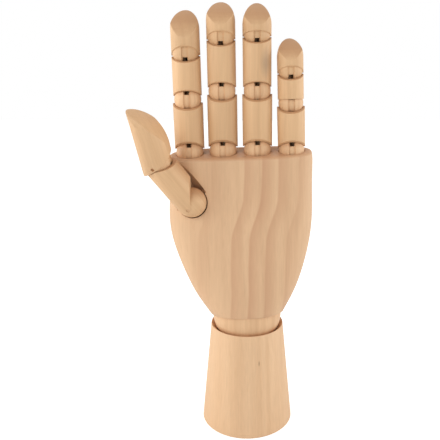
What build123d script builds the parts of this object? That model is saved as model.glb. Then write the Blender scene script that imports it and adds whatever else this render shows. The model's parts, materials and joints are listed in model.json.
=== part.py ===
from build123d import *
import math
import os

# A jointed wooden hand on a turned base, palm side towards -Y, thumb at -X.
# Millimetres. The origin is the middle of the base's underside, +Z is up.

# Base: a turned, tapered forearm with a round seat for the wrist ball
base_bottom_radius = 34.1
base_top_radius = 26.7
base_height = 78.1
base_rim_land = 0.5
base_rim_bevel = 3.5
base_edge_break = 0.7
base_bore_radius = 5.2
counterbore_radius = 11.0
counterbore_depth = 13.0
plug_thickness = 6.0
plug_clearance = 0.05
base_pin_radius = 2.0
base_pin_length = 18.0

# Wrist ball and what holds it
wrist_height = 86.2
wrist_ball_radius = 25.2
wrist_pin_radius = 2.0
wrist_pin_length = 36.0
wrist_coil_radius = 4.0
wrist_eye_radius = 3.2
wrist_eye_spacing = 1.0
wrist_eye_play = 0.8
wrist_eye_thickness = 2.4
wrist_anchor_rise = 48.0
wrist_anchor_length = 30.0
wrist_nod_forward = 20.0
wrist_nod_back = 10.0
wrist_tilt = 10.0

# The whole hand leans to the thumb's side at rest
hand_lean = 2.0

# Palm: heights are above the wrist ball's centre
palm_top = 119.65
palm_top_slope = 10.7
palm_foot_rise = 2.0
palm_foot_slope = 6.8
palm_thumb_side = 52.6
palm_little_side = 49.4
palm_half_thickness = 25.6
palm_shoulder_radius = 2.6
# Rows from foot to top: height, thumb side, little side, half thickness, squareness
palm_section_shares = (
    (-0.05, 0.46, 0.49, 1.00, 2.0),
    (0.05, 0.56, 0.595, 0.985, 2.1),
    (0.15, 0.695, 0.72, 0.945, 2.3),
    (0.30, 0.84, 0.855, 0.87, 2.5),
    (0.47, 0.96, 0.955, 0.78, 2.6),
    (0.65, 1.00, 0.998, 0.68, 2.7),
    (0.84, 0.965, 1.00, 0.59, 2.8),
    (1.06, 0.86, 0.935, 0.485, 2.9),
)
palm_section_points = 20

# Fingers: place of the knuckle in the palm and lengths from joint centre to joint centre
index_across = -35.5
index_rise = 121.1
index_lean = 1.0
index_lower_length = 36.0
index_middle_length = 30.7
index_tip_length = 27.5
middle_across = -12.3
middle_rise = 121.6
middle_lean = 1.4
middle_lower_length = 40.2
middle_middle_length = 35.4
middle_tip_length = 22.3
ring_across = 11.5
ring_rise = 121.2
ring_lean = 1.5
ring_lower_length = 40.1
ring_middle_length = 37.0
ring_tip_length = 18.4
ring_tip_bend = 8.0
little_across = 35.2
little_rise = 119.8
little_lean = 0.0
little_lower_length = 32.5
little_middle_length = 21.5
little_tip_length = 20.9

# Round sections of the fingers; the little finger is slimmer
finger_radius = 10.2
fingertip_radius = 9.65
knuckle_ball_radius = 9.4
joint_ball_radius = 9.2
tip_ball_radius = 9.0
little_finger_radius = 9.5
little_fingertip_radius = 8.85
little_knuckle_ball_radius = 8.9
little_joint_ball_radius = 8.5
little_tip_ball_radius = 8.2

# Joint cuts: square behind the ball, sawn back on the palm side
joint_gap = 2.45
joint_slope = 24.0
knuckle_slope = 31.0
little_middle_slope = 4.0
tip_slope = 21.0
cup_clearance = 0.28
slot_width = 4.4
crease_depth = 0.8
finger_bend = 50.0
finger_back = 10.0
tip_back = 2.0
knuckle_bend = 45.0
knuckle_spread = 8.0
pocket_spare = 2.0
tip_gap = 0.6

# Pins and springs inside the fingers and the thumb
pin_radius = 1.25
pin_end_inset = 0.4
coil_radius = 1.9
eye_radius = 1.85
eye_thickness = 1.1
eye_spacing = 0.3
eye_play = 0.3
eye_fit = 0.05
wall_clearance = 0.3
spring_bore_radius = 2.5
anchor_rod_rise = 85.0
anchor_rod_radius = 1.5
anchor_rod_thumb_end = 43.0
anchor_rod_little_end = 42.5

# Fingertips: length of the rounded end seen from the front
tip_dome_length = 13.6

# Thumb: place of its root ball from the wrist ball's centre, and its two lengths
thumb_across = 35.0
thumb_forward = 13.8
thumb_rise = 88.3
thumb_lean = 34.1
thumb_forward_lean = 12.0
thumb_lower_length = 37.3
thumb_tip_length = 38.5
thumb_pad_turn = 20.0
thumb_tip_turn = 8.0
thumb_tip_bend = 27.0
thumb_radius = 10.6
thumb_tip_radius = 11.0
thumb_ball_radius = 10.4
thumb_tip_ball_radius = 9.9
thumb_dome_length = 15.0
thumb_swing = 2.0
thumb_back = 8.0
thumb_socket_clearance = 0.8
thumb_tip_extra_bend = 25.0
thumb_channel_clearance = 1.9
thumb_anchor_depth = 24.0
thumb_anchor_front = 2.6
thumb_anchor_back = 10.0

# One overrun for every cut that runs out of the wood
overrun = 4.0

os.makedirs("parts", exist_ok=True)


def save(name, piece):
    piece.label = name
    export_step(piece, os.path.join("parts", name + ".step"))


# A round bar along Z from one height to another.
def round_bar(radius, low, high):
    bar = Cylinder(radius, high - low, align=(Align.CENTER, Align.CENTER, Align.MIN))
    return Pos(0, 0, low) * bar


# A round bar along X.
def cross_bar(radius, left, right):
    return Rot(0, 90, 0) * round_bar(radius, left, right)


# A flat slab lying across X, its outline given as (y, z) points.
def cross_slab(points, thickness, middle=0):
    outline = Plane.YZ * make_face(Polyline(*points, close=True))
    return Pos(middle, 0, 0) * extrude(outline, amount=thickness / 2, both=True)


# What a saw takes off above a joint's square-and-sloped line.
def above_cut(height, slope, reach):
    drop = reach * math.tan(math.radians(slope))
    top = height + reach
    points = ((reach, height), (0, height), (-reach, height - drop), (-reach, top), (reach, top))
    return cross_slab(points, 2 * reach)


# What a saw takes off below a joint's square-and-sloped line.
def below_cut(height, slope, reach):
    rise = reach * math.tan(math.radians(slope))
    foot = height - reach
    points = ((reach, height), (0, height), (-reach, height + rise), (-reach, foot), (reach, foot))
    return cross_slab(points, 2 * reach)


# A slot from a cross-pin outwards, wide enough for a spring end that swings in it.
def swing_pocket(reach, width, half_width, bend, back, side=1):
    front = math.radians(bend + pocket_spare)
    rear = math.radians(back + pocket_spare)
    front_side = (-half_width * math.cos(front), -half_width * math.sin(front))
    rear_side = (half_width * math.cos(rear), -half_width * math.sin(rear))
    front_end = (front_side[0] - reach * math.sin(front), front_side[1] + reach * math.cos(front))
    rear_end = (rear_side[0] + reach * math.sin(rear), rear_side[1] + reach * math.cos(rear))
    top = reach + half_width
    points = (front_side, front_end, (front_end[0], top), (rear_end[0], top), rear_end, rear_side)
    points = [(y, side * z) for y, z in points]
    return cross_slab(points, width) + cross_bar(half_width, -width / 2, width / 2)


# A tension spring as its outer shape, with a flat eye at each end; both eyes face X.
def spring(length, coil, low_end, high_end, eye, thickness, low_offset, high_offset, low_hole, high_hole):
    body = round_bar(coil, low_end, length - high_end)
    low_middle = (low_end + thickness) / 2
    high_middle = length - (high_end + thickness) / 2
    low_bar = Pos(low_offset, 0, low_middle) * Box(thickness, 2 * eye, low_end + thickness)
    high_bar = Pos(high_offset, 0, high_middle) * Box(thickness, 2 * eye, high_end + thickness)
    low_ring = Pos(low_offset, 0, 0) * cross_bar(eye, -thickness / 2, thickness / 2)
    high_ring = Pos(high_offset, 0, length) * cross_bar(eye, -thickness / 2, thickness / 2)
    piece = body + low_bar + low_ring + high_bar + high_ring
    piece -= Pos(low_offset, 0, 0) * cross_bar(low_hole, -thickness, thickness)
    piece -= Pos(high_offset, 0, length) * cross_bar(high_hole, -thickness, thickness)
    return piece


eye_offset = (eye_thickness + eye_spacing) / 2
pocket_half_width = eye_radius + wall_clearance
loose_hole = pin_radius + eye_play
snug_hole = pin_radius + eye_fit
pocket_width = 2 * (eye_offset + eye_thickness / 2 + wall_clearance)


def cross_pin(ball_radius):
    return cross_bar(pin_radius, pin_end_inset - ball_radius, ball_radius - pin_end_inset)


# A ball with a wide shallow crease down its palm side
def creased_ball(radius):
    groove = Pos(0, -radius, 0) * Box(slot_width, 2 * radius, 4 * radius)
    return Sphere(radius) - (groove & (Sphere(radius + overrun) - Sphere(radius - crease_depth)))


# A loose ball between two cups, with a cross-pin hole and room for both springs.
def slotted_ball(radius, bend, back, play):
    ball = creased_ball(radius)
    ball -= swing_pocket(2 * radius, pocket_width, pocket_half_width, bend, back)
    reach = eye_offset + eye_thickness / 2 + wall_clearance + radius * math.tan(math.radians(play))
    ball -= Pos(0, 0, -radius) * Box(2 * reach, 2 * pocket_half_width, 2 * radius)
    ball -= cross_bar(pin_radius, -2 * radius, 2 * radius)
    return ball


# One turned finger piece with a cup at each end and the spring's bore through it.
def phalanx(radius, length, low_ball, high_ball, low_slope, high_slope):
    reach = length + overrun
    body = round_bar(radius, 0, length)
    body -= below_cut(joint_gap, low_slope, reach)
    body -= above_cut(length - joint_gap, high_slope, reach)
    body -= Sphere(low_ball + cup_clearance)
    body -= Pos(0, 0, length) * Sphere(high_ball + cup_clearance)
    body -= round_bar(spring_bore_radius, 0, length)
    return body


# Fingertip seen from its side: shares of the radius and of the length
tip_back_share = 0.97
tip_ridge_shares = ((0.53, 0.92), (-0.08, 0.76), (-0.63, 0.55), (-0.93, 0.35), (-1.0, 0.215))
tip_pad_shares = ((-0.94, 0.145), (-0.76, 0.10))


# The end piece: straight back, slanted rounded end, full pad, its own ball below
def fingertip(radius, length, ball_radius, dome, bend, back, rest_bend, turn):
    ridge = [(radius * across, length * along) for across, along in tip_ridge_shares]
    pad = [(radius * across, length * along) for across, along in tip_pad_shares]
    top = (radius * tip_back_share, length)
    rest = math.radians(rest_bend)
    low = tip_gap - joint_gap
    wide = radius + overrun
    neck = (0, low / math.cos(rest))
    crown = (wide, length)
    outline = Curve() + [
        Polyline(neck, (0, -wide), (wide, -wide), crown, top),
        Spline(top, *ridge),
        Spline(ridge[-1], *pad, tangents=((0, -1), (1, -1))),
        Line(pad[-1], neck),
    ]
    side = extrude(Plane.YZ * make_face(outline), amount=wide, both=True)
    shoulder = length - dome
    front = Curve() + [
        Polyline((-radius, shoulder), (-radius, -length), (radius, -length), (radius, shoulder)),
        EllipticalCenterArc((0, shoulder), radius, dome, arc_size=180),
    ]
    face = extrude(Plane.XZ * make_face(front), amount=wide, both=True)
    body = Rot(0, 0, turn) * ((round_bar(radius, -length, length) & side) & face)
    heel = Box(4 * length, 4 * length, 4 * length, align=(Align.CENTER, Align.CENTER, Align.MAX))
    body -= Rot(-rest_bend, 0, 0) * Pos(0, 0, low) * heel
    body += creased_ball(ball_radius)
    body -= swing_pocket(2 * ball_radius, pocket_width, pocket_half_width, bend, back, side=-1)
    body -= cross_bar(pin_radius, -2 * ball_radius, 2 * ball_radius)
    return body


def finger_spring(length, low_ball, high_ball, low_hole, high_hole):
    low_end = low_ball + cup_clearance
    high_end = high_ball + cup_clearance
    return spring(length, coil_radius, low_end, high_end, eye_radius, eye_thickness,
                  eye_offset, -eye_offset, low_hole, high_hole)


hand = Pos(0, 0, wrist_height) * Rot(0, -hand_lean, 0)

# Base, turned round Z
cup_radius = wrist_ball_radius + cup_clearance
bevel_radius = base_top_radius - base_rim_land
bevel_height = base_height - base_rim_bevel
base_profile = Polyline(
    (0, 0),
    (base_bottom_radius - base_edge_break, 0),
    (base_bottom_radius, base_edge_break),
    (base_top_radius, base_height),
    (bevel_radius, base_height),
    (bevel_radius - base_rim_bevel, bevel_height),
    (0, bevel_height),
    close=True,
)
base = revolve(Plane.XZ * make_face(base_profile), Axis.Z)
base -= Pos(0, 0, wrist_height) * Sphere(cup_radius)
base -= round_bar(base_bore_radius, 0, wrist_height)
base -= round_bar(counterbore_radius, 0, counterbore_depth)
save("base", base)

plug = round_bar(counterbore_radius - plug_clearance, 0, plug_thickness)
save("base_plug", plug)

# The wrist's long spring: its lower pin lies across the counterbore's ceiling
base_pin_height = counterbore_depth - base_pin_radius - wall_clearance
base_pin = cross_bar(base_pin_radius, -base_pin_length / 2, base_pin_length / 2)
save("base_anchor_pin", Pos(0, 0, base_pin_height) * base_pin)

wrist_offset = (wrist_eye_thickness + wrist_eye_spacing) / 2
tilt_slope = math.tan(math.radians(wrist_tilt + hand_lean + pocket_spare))
wrist_slot = 2 * (wrist_offset + wrist_eye_thickness / 2 + wall_clearance + wrist_eye_radius * tilt_slope)
wrist_spring_length = wrist_height - base_pin_height
wrist_spring = spring(wrist_spring_length, wrist_coil_radius, 2 * base_pin_radius + wrist_eye_thickness,
                      cup_radius, wrist_eye_radius, wrist_eye_thickness, 0, -wrist_offset,
                      base_pin_radius + eye_fit, wrist_pin_radius + wrist_eye_play)
save("wrist_spring", Pos(0, 0, base_pin_height) * wrist_spring)

wrist_half_width = wrist_eye_radius + wall_clearance
ball = Sphere(wrist_ball_radius)
ball -= swing_pocket(2 * wrist_ball_radius, wrist_slot, wrist_half_width,
                     wrist_nod_forward, wrist_nod_back, side=-1)
tilt_reach = wrist_slot / 2 + wrist_ball_radius * tilt_slope
tilt_points = (
    (-wrist_slot / 2, 0),
    (-tilt_reach, wrist_ball_radius),
    (tilt_reach, wrist_ball_radius),
    (wrist_slot / 2, 0),
)
tilt_face = Plane.XZ * make_face(Polyline(*tilt_points, close=True))
ball -= extrude(tilt_face, amount=wrist_half_width, both=True)
ball -= cross_bar(wrist_pin_radius, -wrist_pin_length / 2, wrist_pin_length / 2)
save("wrist_ball", Pos(0, 0, wrist_height) * ball)
wrist_pin = cross_bar(wrist_pin_radius, -wrist_pin_length / 2, wrist_pin_length / 2)
save("wrist_pin", Pos(0, 0, wrist_height) * wrist_pin)

palm_wrist_spring = spring(wrist_anchor_rise, wrist_coil_radius, cup_radius,
                           2 * wrist_pin_radius + wrist_eye_thickness, wrist_eye_radius,
                           wrist_eye_thickness, wrist_offset, 0,
                           wrist_pin_radius + wrist_eye_play, wrist_pin_radius + eye_fit)
save("palm_wrist_spring", hand * palm_wrist_spring)
palm_pin = cross_bar(wrist_pin_radius, -wrist_anchor_length / 2, wrist_anchor_length / 2)
palm_pin = Pos(0, 0, wrist_anchor_rise) * palm_pin
save("palm_wrist_pin", hand * palm_pin)

# Thumb frames: Z along the piece, -Y to its pad, X along the cross-pin
thumb_root = Vector(-thumb_across, -thumb_forward, thumb_rise)
lean = math.radians(thumb_lean)
forward = math.radians(thumb_forward_lean)
side_lean = -math.sin(lean) * math.cos(forward)
upward = math.cos(lean) * math.cos(forward)
thumb_axis = Vector(side_lean, -math.sin(forward), upward)
inward = Vector(math.cos(lean), 0, math.sin(lean))
pad_angle = math.radians(thumb_pad_turn)
pad_wanted = inward * math.cos(pad_angle) + Vector(0, -1, 0) * math.sin(pad_angle)
pad_way = (pad_wanted - thumb_axis * pad_wanted.dot(thumb_axis)).normalized()
pin_way = (pad_way * -1).cross(thumb_axis)
root_frame = Plane(origin=thumb_root, x_dir=pin_way, z_dir=thumb_axis).location
tip_frame = root_frame * Pos(0, 0, thumb_lower_length) * Rot(thumb_tip_bend, 0, 0)

# Palm: rounded sections lofted from the foot to the knuckles
def palm_section(share):
    height, thumb_side, little_side, thickness, squareness = share
    points = []
    for step in range(palm_section_points):
        angle = 2 * math.pi * step / palm_section_points
        across = math.cos(angle)
        depth = math.sin(angle)
        reach = palm_little_side * little_side if across > 0 else palm_thumb_side * thumb_side
        x = reach * math.copysign(abs(across) ** (2 / squareness), across)
        y = palm_half_thickness * thickness * math.copysign(abs(depth) ** (2 / squareness), depth)
        points.append((x, y))
    return Pos(0, 0, palm_top * height) * make_face(Spline(*points, periodic=True))


palm = loft([palm_section(share) for share in palm_section_shares])
palm_reach = palm_thumb_side + palm_little_side
top_cutter = Pos(0, 0, palm_top) * Rot(palm_top_slope, 0, 0) * Box(
    2 * palm_reach, 2 * palm_reach, palm_reach, align=(Align.CENTER, Align.CENTER, Align.MIN))
palm -= top_cutter
top_face = palm.faces().sort_by(Axis.Z)[-1]
palm = fillet(top_face.outer_wire().edges(), palm_shoulder_radius)
foot_cutter = Pos(0, 0, palm_foot_rise) * Rot(-palm_foot_slope, 0, 0) * Box(
    2 * palm_reach, 2 * palm_reach, palm_reach, align=(Align.CENTER, Align.CENTER, Align.MAX))
palm -= foot_cutter
palm -= Sphere(cup_radius)
palm -= round_bar(base_bore_radius, 0, wrist_anchor_rise + wrist_eye_radius + wall_clearance)
palm -= palm_pin

fingers = (
    ("index", index_across, index_rise, index_lean,
     index_lower_length, index_middle_length, index_tip_length),
    ("middle", middle_across, middle_rise, middle_lean,
     middle_lower_length, middle_middle_length, middle_tip_length),
    ("ring", ring_across, ring_rise, ring_lean,
     ring_lower_length, ring_middle_length, ring_tip_length),
    ("little", little_across, little_rise, little_lean,
     little_lower_length, little_middle_length, little_tip_length),
)
rod = Pos(0, 0, anchor_rod_rise) * cross_bar(anchor_rod_radius, -anchor_rod_thumb_end, anchor_rod_little_end)
palm -= rod
save("finger_anchor_rod", hand * rod)

palm_springs = []
for name, across, rise, finger_lean, lower_length, middle_length, tip_length in fingers:
    slim = name == "little"
    lower_radius = little_finger_radius if slim else finger_radius
    upper_radius = little_fingertip_radius if slim else fingertip_radius
    knuckle = little_knuckle_ball_radius if slim else knuckle_ball_radius
    joint = little_joint_ball_radius if slim else joint_ball_radius
    tip_ball = little_tip_ball_radius if slim else tip_ball_radius
    middle_slope = little_middle_slope if slim else joint_slope
    tip_bend = ring_tip_bend if name == "ring" else 0

    # The palm's cup and bore for this finger, and the spring that runs down to the rod
    palm_spring_length = rise - anchor_rod_rise
    palm -= Pos(across, 0, rise) * Sphere(knuckle + cup_clearance)
    bore_low = anchor_rod_rise - eye_radius - wall_clearance
    palm -= Pos(across, 0, 0) * round_bar(spring_bore_radius, bore_low, rise)
    palm_spring = spring(palm_spring_length, coil_radius, 2 * anchor_rod_radius + eye_thickness,
                         knuckle + cup_clearance, eye_radius, eye_thickness, 0, -eye_offset,
                         anchor_rod_radius, loose_hole)
    palm_springs.append(hand * Pos(across, 0, anchor_rod_rise) * palm_spring)

    root = hand * Pos(across, 0, rise) * Rot(0, finger_lean, 0)
    save(name + "_knuckle_ball", root * slotted_ball(knuckle, knuckle_bend, finger_back, knuckle_spread))
    save(name + "_knuckle_pin", root * cross_pin(knuckle))

    lower = phalanx(lower_radius, lower_length, knuckle, joint, knuckle_slope, joint_slope)
    save(name + "_lower", root * lower)
    lower_spring = finger_spring(lower_length, knuckle, joint, loose_hole, snug_hole)
    save(name + "_lower_spring", root * lower_spring)
    middle_root = root * Pos(0, 0, lower_length)
    save(name + "_joint_ball", middle_root * slotted_ball(joint, finger_bend, finger_back, 0))
    save(name + "_joint_pin", middle_root * cross_pin(joint))

    middle = phalanx(upper_radius, middle_length, joint, tip_ball, middle_slope, joint_slope)
    save(name + "_middle", middle_root * middle)
    middle_spring = finger_spring(middle_length, joint, tip_ball, loose_hole, loose_hole)
    save(name + "_middle_spring", middle_root * middle_spring)
    tip_root = middle_root * Pos(0, 0, middle_length) * Rot(tip_bend, 0, 0)
    tip = fingertip(upper_radius, tip_length, tip_ball, tip_dome_length,
                    finger_bend + tip_bend, tip_back, tip_bend, 0)
    save(name + "_tip", tip_root * tip)
    save(name + "_tip_pin", tip_root * cross_pin(tip_ball))

save("finger_palm_springs", Compound(children=palm_springs))

# Thumb: a lower piece that ends in its own ball, and a long tip
reach = thumb_lower_length + overrun
thumb_outline = Curve() + [
    Polyline((0, -thumb_ball_radius), (0, thumb_lower_length), (thumb_radius, thumb_lower_length),
             (thumb_radius, 0), (thumb_ball_radius, 0)),
    CenterArc((0, 0), thumb_ball_radius, 0, -90),
]
thumb_lower = revolve(Plane.XZ * make_face(thumb_outline), Axis.Z)
thumb_lower -= above_cut(thumb_lower_length - joint_gap, joint_slope, reach)
thumb_lower -= Pos(0, 0, thumb_lower_length) * Sphere(thumb_tip_ball_radius + cup_clearance)
thumb_lower = root_frame * thumb_lower
step_side = Pos(thumb_root) * Box(reach, 2 * reach, 2 * reach, align=(Align.MIN, Align.CENTER, Align.CENTER))
step_side &= root_frame * Box(2 * reach, 2 * reach, 2 * reach, align=(Align.CENTER, Align.CENTER, Align.MIN))
thumb_lower -= step_side - Pos(thumb_root) * Sphere(thumb_ball_radius)
thumb_lower -= root_frame * round_bar(spring_bore_radius, 0, thumb_lower_length)
thumb_lower -= root_frame * swing_pocket(2 * thumb_ball_radius, pocket_width, pocket_half_width,
                                         thumb_swing, thumb_back, side=-1)
thumb_lower -= root_frame * cross_bar(pin_radius + eye_fit, -2 * thumb_ball_radius, 2 * thumb_ball_radius)
save("thumb_lower", hand * thumb_lower)
save("thumb_root_pin", hand * root_frame * cross_pin(thumb_ball_radius))

# The palm's socket for the thumb, and a hollow along the thumb's back
palm -= Pos(thumb_root) * Sphere(thumb_ball_radius + thumb_socket_clearance)
palm -= root_frame * round_bar(thumb_radius + thumb_channel_clearance, 0, 2 * thumb_lower_length)
palm -= root_frame * round_bar(spring_bore_radius, -thumb_anchor_depth - eye_radius - wall_clearance, 0)
anchor_pin = cross_bar(pin_radius, -thumb_anchor_front, thumb_anchor_back)
anchor_pin = root_frame * Pos(0, 0, -thumb_anchor_depth) * anchor_pin
palm -= anchor_pin
save("thumb_anchor_pin", hand * anchor_pin)
root_spring = spring(thumb_anchor_depth, coil_radius, 2 * pin_radius + eye_thickness,
                     thumb_ball_radius + cup_clearance, eye_radius, eye_thickness, 0, -eye_offset,
                     snug_hole, loose_hole)
save("thumb_root_spring", hand * root_frame * Pos(0, 0, -thumb_anchor_depth) * root_spring)

tip_spring = finger_spring(thumb_lower_length, thumb_ball_radius, thumb_tip_ball_radius,
                           loose_hole, loose_hole)
save("thumb_tip_spring", hand * root_frame * tip_spring)
thumb_tip = fingertip(thumb_tip_radius, thumb_tip_length, thumb_tip_ball_radius, thumb_dome_length,
                      thumb_tip_bend + thumb_tip_extra_bend, tip_back, thumb_tip_bend, thumb_tip_turn)
save("thumb_tip", hand * tip_frame * thumb_tip)
save("thumb_tip_pin", hand * tip_frame * cross_pin(thumb_tip_ball_radius))

save("palm", hand * palm)
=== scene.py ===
import bpy
import bmesh
import json
import math
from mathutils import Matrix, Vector


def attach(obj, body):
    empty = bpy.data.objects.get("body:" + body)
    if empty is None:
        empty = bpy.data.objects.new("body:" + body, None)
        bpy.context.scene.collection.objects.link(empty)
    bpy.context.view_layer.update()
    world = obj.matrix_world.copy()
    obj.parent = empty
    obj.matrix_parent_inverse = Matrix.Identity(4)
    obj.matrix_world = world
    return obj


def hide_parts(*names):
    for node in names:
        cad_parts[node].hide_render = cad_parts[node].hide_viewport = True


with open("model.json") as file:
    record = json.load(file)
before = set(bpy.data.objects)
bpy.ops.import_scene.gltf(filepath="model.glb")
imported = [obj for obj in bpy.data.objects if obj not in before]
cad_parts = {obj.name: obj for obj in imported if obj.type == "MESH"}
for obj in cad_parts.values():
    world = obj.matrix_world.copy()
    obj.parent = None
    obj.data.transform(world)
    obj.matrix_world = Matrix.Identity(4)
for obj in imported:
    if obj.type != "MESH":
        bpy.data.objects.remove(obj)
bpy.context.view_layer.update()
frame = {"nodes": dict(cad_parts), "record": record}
print("stage: frame loaded")

mm = 0.001  # the frame is in metres, sizes below are easier to read in millimetres

# Camera, at the photograph's place and angle
cameraSettings = {
    "height": 266.5 * mm,
    "distance": 409.1 * mm,
    "pitchDegrees": 15.0,
    "lens": 48.23,
    "sensor": 36.0,
    "shiftX": -0.0614,
    "nearest": 10.0 * mm,
}


def makeCamera(s):
    data = bpy.data.cameras.new("camera")
    data.lens = s["lens"]
    data.sensor_width = s["sensor"]
    data.shift_x = s["shiftX"]
    data.clip_start = s["nearest"]
    cam = bpy.data.objects.new("camera", data)
    bpy.context.scene.collection.objects.link(cam)
    cam.location = (0, -s["distance"], s["height"])
    cam.rotation_euler = (math.radians(90 - s["pitchDegrees"]), 0, 0)
    bpy.context.scene.camera = cam


makeCamera(cameraSettings)
print("stage: camera")

# Soft light from all round, one lamp from the upper left and one from each side
stageSettings = {
    "worldFill": 0.67,
    "lamps": {
        "keyLamp": {"place": (-0.62, -0.75, 0.78), "power": 3.0, "size": 0.5},
        "leftLamp": {"place": (-0.85, -0.05, 0.3), "power": 3.6, "size": 0.7},
        "rightLamp": {"place": (0.85, -0.05, 0.3), "power": 3.6, "size": 0.7},
    },
    "aim": (0.0, 0.0, 0.16),
    "floorColour": (0.86, 0.86, 0.86, 1),
    "floorRoughness": 0.9,
    "floorHalf": 2.4,
    "floorLift": 0.56,
}


def addNode(tree, kind, values=None, **settings):
    node = tree.nodes.new(kind)
    for key, value in settings.items():
        setattr(node, key, value)
    for key, value in (values or {}).items():
        node.inputs[key].default_value = value
    return node


# A maths node; each of its values is a number or another node's output
def mathNode(tree, operation, *values, clamp=False):
    node = addNode(tree, "ShaderNodeMath", operation=operation, use_clamp=clamp)
    for socket, value in zip(node.inputs, values):
        if isinstance(value, bpy.types.NodeSocket):
            tree.links.new(value, socket)
        else:
            socket.default_value = value
    return node.outputs[0]


def aimedLamp(name, s, aim):
    data = bpy.data.lights.new(name, "AREA")
    data.energy = s["power"]
    data.size = s["size"]
    lamp = bpy.data.objects.new(name, data)
    bpy.context.scene.collection.objects.link(lamp)
    lamp.location = s["place"]
    lamp.rotation_mode = "QUATERNION"
    lamp.rotation_quaternion = (Vector(aim) - Vector(s["place"])).to_track_quat("-Z", "Y")


# The world lights the hand softly, but is pure white where it is seen or mirrored
def makeWorld(s):
    world = bpy.data.worlds.new("world")
    bpy.context.scene.world = world
    world.use_nodes = True
    tree = world.node_tree
    tree.nodes.clear()
    fill = addNode(tree, "ShaderNodeBackground",
                   {"Color": (1, 1, 1, 1), "Strength": s["worldFill"]})
    white = addNode(tree, "ShaderNodeBackground", {"Color": (1, 1, 1, 1)})
    path = addNode(tree, "ShaderNodeLightPath")
    seen = path.outputs["Is Camera Ray"]
    for ray in ("Is Glossy Ray", "Is Transmission Ray"):
        seen = mathNode(tree, "MAXIMUM", seen, path.outputs[ray])
    mix = addNode(tree, "ShaderNodeMixShader")
    tree.links.new(seen, mix.inputs[0])
    tree.links.new(fill.outputs[0], mix.inputs[1])
    tree.links.new(white.outputs[0], mix.inputs[2])
    out = addNode(tree, "ShaderNodeOutputWorld")
    tree.links.new(mix.outputs[0], out.inputs["Surface"])


# A white floor that the camera sees a little lifted, so that only a soft shadow stays
def makeFloor(s):
    mesh = bpy.data.meshes.new("floor")
    bm = bmesh.new()
    bmesh.ops.create_grid(bm, x_segments=1, y_segments=1, size=s["floorHalf"])
    bm.to_mesh(mesh)
    bm.free()
    floor = bpy.data.objects.new("floor", mesh)
    bpy.context.scene.collection.objects.link(floor)
    material = bpy.data.materials.new("paleFloor")
    material.use_nodes = True
    tree = material.node_tree
    body = tree.nodes["Principled BSDF"]
    body.inputs["Base Color"].default_value = s["floorColour"]
    body.inputs["Roughness"].default_value = s["floorRoughness"]
    body.inputs["Specular IOR Level"].default_value = 0.0
    path = addNode(tree, "ShaderNodeLightPath")
    glow = addNode(tree, "ShaderNodeEmission")
    lift = mathNode(tree, "MULTIPLY", path.outputs["Is Camera Ray"], s["floorLift"])
    tree.links.new(lift, glow.inputs["Strength"])
    add = addNode(tree, "ShaderNodeAddShader")
    tree.links.new(body.outputs[0], add.inputs[0])
    tree.links.new(glow.outputs[0], add.inputs[1])
    tree.links.new(add.outputs[0], tree.nodes["Material Output"].inputs["Surface"])
    mesh.materials.append(material)


makeWorld(stageSettings)
makeFloor(stageSettings)
for lampName, lampSettings in stageSettings["lamps"].items():
    aimedLamp(lampName, lampSettings, stageSettings["aim"])
bpy.context.scene.view_settings.view_transform = "Standard"
print("stage: light and floor")


# Shader node groups, each built once and placed in every wood with its own values
def newGroup(name, inputs, outputs):
    group = bpy.data.node_groups.new(name, "ShaderNodeTree")
    for label, kind in inputs:
        group.interface.new_socket(label, in_out="INPUT", socket_type=kind)
    for label, kind in outputs:
        group.interface.new_socket(label, in_out="OUTPUT", socket_type=kind)
    return group, group.nodes.new("NodeGroupInput"), group.nodes.new("NodeGroupOutput")


def mixColour(tree, factor, first, second, blend="MIX"):
    node = addNode(tree, "ShaderNodeMix", data_type="RGBA", blend_type=blend)
    sockets = [node.inputs[0], node.inputs[6], node.inputs[7]]  # 6 and 7 are A and B for colours
    for socket, value in zip(sockets, (factor, first, second)):
        if isinstance(value, bpy.types.NodeSocket):
            tree.links.new(value, socket)
        else:
            socket.default_value = value
    return node.outputs[2]


def mapRange(tree, value, low, high, outLow=0.0, outHigh=1.0, smooth=False):
    kind = "SMOOTHSTEP" if smooth else "LINEAR"
    node = addNode(tree, "ShaderNodeMapRange", {1: low, 2: high, 3: outLow, 4: outHigh},
                   interpolation_type=kind)
    tree.links.new(value, node.inputs[0])
    return node.outputs[0]


# Noise drawn out along Z, as all marks in wood run with the fibres
def drawnNoise(tree, vector, s):
    stretch = addNode(tree, "ShaderNodeMapping", {"Scale": (1, 1, s["draw"])})
    tree.links.new(vector, stretch.inputs["Vector"])
    noise = addNode(tree, "ShaderNodeTexNoise",
                    {"Scale": s["scale"], "Detail": s["detail"], "Roughness": s["roughness"]})
    tree.links.new(stretch.outputs[0], noise.inputs["Vector"])
    return noise.outputs["Fac"]


# Growth rings, streaks, fibres and pores. A noise shows from low and is full at high; the
# smaller its draw, the longer its marks
grainSettings = {
    "wander": {"draw": 0.22, "scale": 22.0, "detail": 2.0, "roughness": 0.45},
    "wanderReach": 12.0 * mm,
    "depthShare": 0.35,
    "ring": {"detail": 1.5, "roughness": 0.6, "low": 0.42, "high": 0.72},
    "streak": {"draw": 0.06, "scale": 95.0, "detail": 3.0, "roughness": 0.6,
               "low": 0.38, "high": 0.72},
    "fibre": {"draw": 0.03, "scale": 900.0, "detail": 2.0, "roughness": 0.6,
              "low": 0.35, "high": 0.7},
    "pore": {"draw": 0.11, "scale": 620.0, "detail": 0.0, "roughness": 0.5,
             "low": 0.68, "high": 0.78},
    "fibreTintLow": 0.3,
    "fibreDark": 0.965,
    "fibreLight": 1.03,
    "earlyRoughness": 0.56,
    "lateRoughness": 0.48,
    "poreDepth": -0.6,
    "fibreHeight": 0.25,
}


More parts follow.
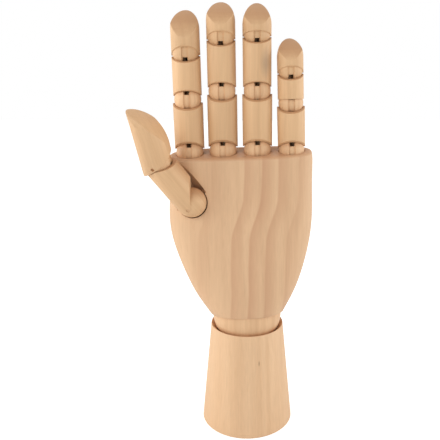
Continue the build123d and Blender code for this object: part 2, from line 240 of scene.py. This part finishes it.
def makeGrainGroup(s):
    group, gin, gout = newGroup(
        "woodGrain",
        [("Vector", "NodeSocketVector"), ("Light", "NodeSocketColor"), ("Dark", "NodeSocketColor"),
         ("Ring Width", "NodeSocketFloat"), ("Ring Strength", "NodeSocketFloat"),
         ("Streak Strength", "NodeSocketFloat"), ("Pore Strength", "NodeSocketFloat")],
        [("Color", "NodeSocketColor"), ("Roughness", "NodeSocketFloat"),
         ("Height", "NodeSocketFloat")])
    vector, light, dark = (gin.outputs[label] for label in ("Vector", "Light", "Dark"))
    # the place across the rings, which wander slowly along the wood
    axes = addNode(group, "ShaderNodeSeparateXYZ")
    group.links.new(vector, axes.inputs[0])
    wander = mathNode(group, "MULTIPLY", drawnNoise(group, vector, s["wander"]), s["wanderReach"])
    across = mathNode(group, "ADD", axes.outputs["X"], wander)
    deep = mathNode(group, "MULTIPLY", axes.outputs["Y"], s["depthShare"])
    reach = mathNode(group, "ADD", across, deep)
    ring = s["ring"]
    rings = addNode(group, "ShaderNodeTexNoise",
                    {"Scale": 1.0, "Detail": ring["detail"], "Roughness": ring["roughness"]},
                    noise_dimensions="1D")
    group.links.new(mathNode(group, "DIVIDE", reach, gin.outputs["Ring Width"]), rings.inputs["W"])
    ringMask = mapRange(group, rings.outputs["Fac"], ring["low"], ring["high"])

    noises = {mark: drawnNoise(group, vector, s[mark]) for mark in ("fibre", "streak", "pore")}
    masks = {mark: mapRange(group, noises[mark], s[mark]["low"], s[mark]["high"])
             for mark in noises}

    # each kind of mark darkens the wood by its own strength
    totals = {}
    for mark, mask in (("Ring", ringMask), ("Streak", masks["streak"]), ("Pore", masks["pore"])):
        strength = gin.outputs[mark + " Strength"]
        totals[mark] = mathNode(group, "MULTIPLY", mask, strength, clamp=True)
    colour = light
    for total in totals.values():
        colour = mixColour(group, total, colour, dark)
    fibreLight = mapRange(group, noises["fibre"], s["fibreTintLow"], s["fibre"]["high"],
                          s["fibreDark"], s["fibreLight"])
    tint = addNode(group, "ShaderNodeCombineColor")
    for channel in tint.inputs:
        group.links.new(fibreLight, channel)
    colour = mixColour(group, 1.0, colour, tint.outputs[0], "MULTIPLY")
    group.links.new(colour, gout.inputs["Color"])

    rough = mapRange(group, ringMask, 0, 1, s["earlyRoughness"], s["lateRoughness"])
    group.links.new(rough, gout.inputs["Roughness"])
    pits = mathNode(group, "MULTIPLY", totals["Pore"], s["poreDepth"])
    ridges = mathNode(group, "MULTIPLY", masks["fibre"], s["fibreHeight"])
    group.links.new(mathNode(group, "ADD", pits, ridges), gout.inputs["Height"])
    return group


grainGroup = makeGrainGroup(grainSettings)


# A colour as a picture program gives it, made linear
def srgb(r, g, b):
    def linear(c):
        c = c / 255
        return c / 12.92 if c <= 0.04045 else ((c + 0.055) / 1.055) ** 2.4
    return (linear(r), linear(g), linear(b), 1.0)


# Palm bands: the growth lines seen down the palm's face, as places across it near the knuckles
bandSettings = {
    "lines": (-24.0 * mm, -1.2 * mm, 11.0 * mm, 22.5 * mm, 37.0 * mm),
    "strengths": (0.2, 0.52, 0.6, 0.5, 0.28),
    "fade": 8.5 * mm,
    "edge": 1.2 * mm,
    "swayTop": 177.0 * mm,
    "swayLow": 145.0 * mm,
    "sway": 8.5 * mm,
    "foot": 92.0 * mm,
    "footSway": 3.0 * mm,
    "wander": 3.0 * mm,
    "wanderScale": 14.0,
    "wanderDetail": 1.0,
    "wanderLow": 0.3,
    "wanderHigh": 0.7,
}


# Lines down the palm that sway to one side below the knuckles, dark at one edge and fading from it
def makeBandGroup(s):
    group, gin, gout = newGroup(
        "palmBands", [("Vector", "NodeSocketVector")], [("Mask", "NodeSocketFloat")])
    axes = addNode(group, "ShaderNodeSeparateXYZ")
    group.links.new(gin.outputs["Vector"], axes.inputs[0])
    height = axes.outputs["Z"]
    upper = mapRange(group, height, s["swayTop"], s["swayLow"], 0.0, s["sway"], smooth=True)
    lower = mapRange(group, height, s["swayLow"], s["foot"], 0.0, s["footSway"])
    wave = addNode(group, "ShaderNodeTexNoise",
                   {"Scale": s["wanderScale"], "Detail": s["wanderDetail"]})
    group.links.new(gin.outputs["Vector"], wave.inputs["Vector"])
    wander = mapRange(group, wave.outputs["Fac"], s["wanderLow"], s["wanderHigh"],
                      -s["wander"] / 2, s["wander"] / 2)
    place = axes.outputs["X"]
    for extra in (upper, lower, wander):
        place = mathNode(group, "ADD", place, extra)
    mask = None
    for line, strength in zip(s["lines"], s["strengths"]):
        rise = mapRange(group, place, line - s["edge"], line)
        fall = mapRange(group, place, line, line + s["fade"], strength, 0.0)
        band = mathNode(group, "MULTIPLY", rise, fall)
        mask = band if mask is None else mathNode(group, "MAXIMUM", mask, band)
    group.links.new(mask, gout.inputs["Mask"])
    return group


bandGroup = makeBandGroup(bandSettings)


# How much of a spot is at full strength, before it fades out to its edge
spotCore = 0.2


# A soft spot around one place: one near its middle, nothing past its size
def makeSpotGroup(core):
    group, gin, gout = newGroup(
        "spot",
        [("Vector", "NodeSocketVector"), ("Centre", "NodeSocketVector"),
         ("Size", "NodeSocketVector")],
        [("Mask", "NodeSocketFloat")])
    away = addNode(group, "ShaderNodeVectorMath", operation="SUBTRACT")
    share = addNode(group, "ShaderNodeVectorMath", operation="DIVIDE")
    length = addNode(group, "ShaderNodeVectorMath", operation="LENGTH")
    group.links.new(gin.outputs["Vector"], away.inputs[0])
    group.links.new(gin.outputs["Centre"], away.inputs[1])
    group.links.new(away.outputs[0], share.inputs[0])
    group.links.new(gin.outputs["Size"], share.inputs[1])
    group.links.new(share.outputs[0], length.inputs[0])
    group.links.new(mapRange(group, length.outputs["Value"], 1.0, core), gout.inputs["Mask"])
    return group


spotGroup = makeSpotGroup(spotCore)

# Marks in single pieces: a small knot in the base and a stain in the ring finger
spotSettings = {
    "base": {
        "centre": (8.7 * mm, -29.0 * mm, 57.5 * mm),
        "size": (0.7 * mm, 6.0 * mm, 2.6 * mm),
        "colour": (0.16, 0.07, 0.03, 1),
        "strength": 0.6,
    },
    "ring_middle": {
        "centre": (12.3 * mm, -8.0 * mm, 266.0 * mm),
        "size": (4.2 * mm, 12.0 * mm, 11.0 * mm),
        "colour": (0.2, 0.15, 0.11, 1),
        "strength": 0.4,
    },
}

# The four woods: light and dark wood, end grain, and how strongly each mark shows
woodSettings = {
    "base_wood": {
        "light": srgb(226, 188, 148), "dark": srgb(204, 160, 118), "end": srgb(196, 148, 110),
        "endGrain": 0.6, "ringWidth": 7.5 * mm, "ring": 0.3, "streak": 0.25, "pore": 0.12,
    },
    "palm_wood": {
        "light": srgb(220, 182, 143), "dark": srgb(186, 140, 104), "end": srgb(196, 148, 110),
        "endGrain": 0.6, "ringWidth": 6.2 * mm, "ring": 0.12, "streak": 0.2, "pore": 0.1,
        "bands": srgb(192, 142, 108),
    },
    "finger_wood": {
        "light": srgb(223, 183, 139), "dark": srgb(192, 148, 106), "end": srgb(186, 138, 98),
        "endGrain": 0.75, "ringWidth": 5.5 * mm, "ring": 0.24, "streak": 0.22, "pore": 0.14,
    },
    "ball_wood": {
        "light": srgb(226, 186, 144), "dark": srgb(192, 146, 106), "end": srgb(196, 148, 110),
        "endGrain": 0.6, "ringWidth": 5.0 * mm, "ring": 0.3, "streak": 0.25, "pore": 0.18,
    },
}

# Pieces cut from a slightly lighter or darker stick than the rest
pieceLifts = {
    "index_tip": 0.93, "index_middle": 1.02, "index_lower": 0.97, "index_joint_ball": 1.05,
    "middle_tip": 0.98, "middle_middle": 0.97, "middle_lower": 0.92,
    "ring_tip": 0.93, "ring_middle": 0.97,
    "little_tip": 0.98, "little_middle": 1.03,
    "thumb_tip": 0.98, "thumb_lower": 0.97,
}

# Pieces whose end grain hardly shows
endShares = {"thumb_tip": 0.2}

# How far a face turns to the fibres' ends before its end grain shows, and how deep pores look
finishSettings = {
    "endLow": 0.25,
    "endHigh": 0.75,
    "bumpStrength": 0.25,
    "bumpDistance": 0.2 * mm,
    "specular": 0.35,
}


def makeWood(name, node, slotName, shift, turn):
    s = woodSettings[slotName]
    f = finishSettings
    lift = pieceLifts.get(node, 1.0)
    material = bpy.data.materials.new(name)
    material.use_nodes = True
    tree = material.node_tree
    body = tree.nodes["Principled BSDF"]
    coords = addNode(tree, "ShaderNodeTexCoord")
    place = addNode(tree, "ShaderNodeMapping", {"Location": shift, "Rotation": turn})
    tree.links.new(coords.outputs["Object"], place.inputs["Vector"])
    grain = addNode(tree, "ShaderNodeGroup", node_tree=grainGroup)
    values = {"Light": tuple(c * lift for c in s["light"][:3]) + (1.0,), "Dark": s["dark"],
              "Ring Width": s["ringWidth"], "Ring Strength": s["ring"],
              "Streak Strength": s["streak"], "Pore Strength": s["pore"]}
    for label, value in values.items():
        grain.inputs[label].default_value = value
    tree.links.new(place.outputs[0], grain.inputs["Vector"])
    colour = grain.outputs["Color"]
    if "bands" in s:
        bands = addNode(tree, "ShaderNodeGroup", node_tree=bandGroup)
        tree.links.new(coords.outputs["Object"], bands.inputs["Vector"])
        colour = mixColour(tree, bands.outputs["Mask"], colour, s["bands"])
    if node in spotSettings:
        mark = spotSettings[node]
        spot = addNode(tree, "ShaderNodeGroup", node_tree=spotGroup)
        spot.inputs["Centre"].default_value = mark["centre"]
        spot.inputs["Size"].default_value = mark["size"]
        tree.links.new(coords.outputs["Object"], spot.inputs["Vector"])
        strength = mapRange(tree, spot.outputs["Mask"], 0, 1, 0, mark["strength"])
        colour = mixColour(tree, strength, colour, mark["colour"])
    # end grain, where the surface faces along the fibres, is a little darker
    facing = addNode(tree, "ShaderNodeSeparateXYZ")
    tree.links.new(coords.outputs["Normal"], facing.inputs[0])
    endMost = s["endGrain"] * endShares.get(node, 1.0)
    endMask = mapRange(tree, facing.outputs["Z"], f["endLow"], f["endHigh"], 0.0, endMost)
    colour = mixColour(tree, endMask, colour, s["end"])
    tree.links.new(colour, body.inputs["Base Color"])
    tree.links.new(grain.outputs["Roughness"], body.inputs["Roughness"])
    bump = addNode(tree, "ShaderNodeBump",
                   {"Strength": f["bumpStrength"], "Distance": f["bumpDistance"]})
    tree.links.new(grain.outputs["Height"], bump.inputs["Height"])
    tree.links.new(bump.outputs[0], body.inputs["Normal"])
    body.inputs["Specular IOR Level"].default_value = f["specular"]
    return material


# Steel of the pins and springs, rubbed and a little uneven
metalSettings = {
    "pin_steel": {"colour": srgb(176, 154, 128), "roughness": 0.5},
    "spring_steel": {"colour": srgb(158, 136, 112), "roughness": 0.55},
}

# Rub marks on the steel: where they start and end to show, and how rough and dark they are
rubSettings = {
    "scale": 700.0,
    "detail": 3.0,
    "roughLow": 0.3,
    "roughHigh": 0.7,
    "spread": 0.2,
    "darkLow": 0.45,
    "darkHigh": 0.75,
    "dark": 0.7,
}

# A dab of wood filler hides the ends of the thumb's pins, where a face looks along the pin.
# Each pin lies along the axis of the joint named beside it
fillerSettings = {
    "pins": {"thumb_root_pin": "thumb_swing", "thumb_tip_pin": "thumb_tip_bend"},
    "colour": srgb(214, 174, 132),
    "low": 0.4,
    "high": 0.5,
}


def makeSteel(name, slotName, pinAxis=None):
    s = metalSettings[slotName]
    r = rubSettings
    material = bpy.data.materials.new(name)
    material.use_nodes = True
    tree = material.node_tree
    body = tree.nodes["Principled BSDF"]
    body.inputs["Metallic"].default_value = 1.0
    coords = addNode(tree, "ShaderNodeTexCoord")
    rub = addNode(tree, "ShaderNodeTexNoise", {"Scale": r["scale"], "Detail": r["detail"]})
    tree.links.new(coords.outputs["Object"], rub.inputs["Vector"])
    rough = mapRange(tree, rub.outputs["Fac"], r["roughLow"], r["roughHigh"],
                     s["roughness"], s["roughness"] + r["spread"])
    tree.links.new(rough, body.inputs["Roughness"])
    dark = tuple(c * r["dark"] for c in s["colour"][:3]) + (1.0,)
    darkMask = mapRange(tree, rub.outputs["Fac"], r["darkLow"], r["darkHigh"])
    tint = mixColour(tree, darkMask, s["colour"], dark)
    if pinAxis:
        f = fillerSettings
        along = addNode(tree, "ShaderNodeVectorMath", {1: pinAxis}, operation="DOT_PRODUCT")
        tree.links.new(coords.outputs["Normal"], along.inputs[0])
        lean = mathNode(tree, "ABSOLUTE", along.outputs["Value"])
        filled = mapRange(tree, lean, f["low"], f["high"])
        tint = mixColour(tree, filled, tint, f["colour"])
        tree.links.new(mathNode(tree, "SUBTRACT", 1.0, filled), body.inputs["Metallic"])
    tree.links.new(tint, body.inputs["Base Color"])
    return material


steels = {name: makeSteel(name, name) for name in metalSettings}
jointAxes = {row["name"]: tuple(row["axis"]) for row in frame["record"]["behaviour"]["joints"]}
filledPins = {node: makeSteel(node + "Filled", "pin_steel", jointAxes[joint])
              for node, joint in fillerSettings["pins"].items()}
print("stage: materials")

# Wood pieces: each CAD solid with its sharp edges eased
easeSettings = {
    "weld": 0.005 * mm,
    "flatDegrees": 1.0,
    "sharpDegrees": 32.0,
    "ease": 0.35 * mm,
    "segments": 2,
}
easeWidths = {"base": 0.6 * mm, "palm": 0.7 * mm}
leftAlone = ("base_plug",)  # flush in its hole, so it stays sharp

# The thumb's two pieces lean, and their grain leans with them, in degrees
grainTurns = {"thumb_lower": (-12, 36, 0), "thumb_tip": (-22, 12, 0)}

# How far the grain is moved on from one piece to the next, so that no two look alike
grainStep = (37.0 * mm, 21.0 * mm, 13.0 * mm)

bodyOfNode = {}
for body, members in frame["record"]["behaviour"]["bodies"].items():
    bodyOfNode.update((node, body) for node in members)
slotOfNode = {row["node"]: row["material_slot"] for row in frame["record"]["subparts"]}


def easedPiece(node, width, material):
    s = easeSettings
    bm = bmesh.new()
    bm.from_mesh(frame["nodes"][node].data)
    # loose triangles become one skin with whole flat faces, so that only real edges are eased
    bmesh.ops.remove_doubles(bm, verts=bm.verts, dist=s["weld"])
    bmesh.ops.dissolve_limit(bm, angle_limit=math.radians(s["flatDegrees"]),
                             verts=bm.verts, edges=bm.edges)
    sharp = [e for e in bm.edges
             if e.is_manifold and e.calc_face_angle(0) > math.radians(s["sharpDegrees"])]
    bmesh.ops.bevel(bm, geom=sharp, offset=width, offset_type="OFFSET", affect="EDGES",
                    segments=s["segments"], profile=0.5, material=-1, clamp_overlap=True)
    mesh = bpy.data.meshes.new(node + "_wood")
    bm.to_mesh(mesh)
    bm.free()
    for face in mesh.polygons:
        face.use_smooth = True
    mesh.materials.clear()
    mesh.materials.append(material)
    piece = bpy.data.objects.new(node + "_wood", mesh)
    bpy.context.scene.collection.objects.link(piece)
    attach(piece, bodyOfNode[node])
    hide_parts(node)


count = 0
for node, slotName in sorted(slotOfNode.items()):
    cad = frame["nodes"][node]
    cad.data.materials.clear()
    if slotName in steels:
        cad.data.materials.append(filledPins.get(node, steels[slotName]))
        continue
    count += 1
    shift = tuple(step * count for step in grainStep)
    turn = tuple(math.radians(angle) for angle in grainTurns.get(node, (0, 0, 0)))
    wood = makeWood(node + "Grain", node, slotName, shift, turn)
    cad.data.materials.append(wood)
    if node not in leftAlone:
        easedPiece(node, easeWidths.get(node, easeSettings["ease"]), wood)
print("stage: pieces")
